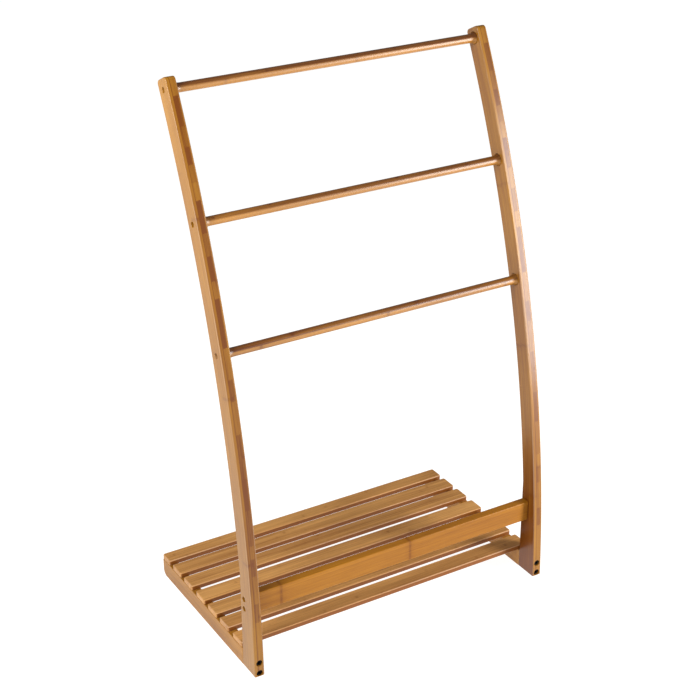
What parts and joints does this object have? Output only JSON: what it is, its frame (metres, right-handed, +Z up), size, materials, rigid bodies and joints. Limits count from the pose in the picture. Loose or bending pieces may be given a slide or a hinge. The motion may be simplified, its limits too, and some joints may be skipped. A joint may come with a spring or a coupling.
{
  "type": "free-standing towel rack",
  "caption": "Bamboo towel rack with curved side posts, round towel rails, a low stretcher and a slatted shelf at the base.",
  "frame": {"origin": "on the floor, under the middle of the rack's bounding box", "axes": "+X along the towel rails to the right post, +Y from the posts to the front of the shelf, +Z up"},
  "size_m": [0.5, 0.304, 0.82],
  "materials": {
    "bamboo_light": "satin lacquered bamboo, light side faces",
    "bamboo_honey": "satin lacquered bamboo, straight fine grain",
    "bamboo_dark": "glossy lacquered bamboo, turned",
    "zinc_screws": "zinc plated",
    "black_bolts": "black oxide",
    "brass_inserts": "plain"
  },
  "bodies": {
    "root": {"left_post": "bamboo_light", "right_post": "bamboo_light", "top_rail": "bamboo_dark", "middle_rail": "bamboo_dark", "lower_rail": "bamboo_dark", "stretcher": "bamboo_honey", "left_side_rail": "bamboo_light", "right_side_rail": "bamboo_light", "slat_1": "bamboo_honey", "slat_2": "bamboo_honey", "slat_3": "bamboo_honey", "slat_4": "bamboo_honey", "slat_5": "bamboo_honey", "slat_6": "bamboo_honey", "slat_7": "bamboo_honey", "left_rail_screws": "zinc_screws", "right_rail_screws": "zinc_screws", "left_stretcher_screws": "zinc_screws", "right_stretcher_screws": "zinc_screws", "left_foot_bolts": "black_bolts", "right_foot_bolts": "black_bolts", "left_bolt_inserts": "brass_inserts", "right_bolt_inserts": "brass_inserts", "left_slat_screws": "zinc_screws", "right_slat_screws": "zinc_screws"}
  },
  "joints": []
}
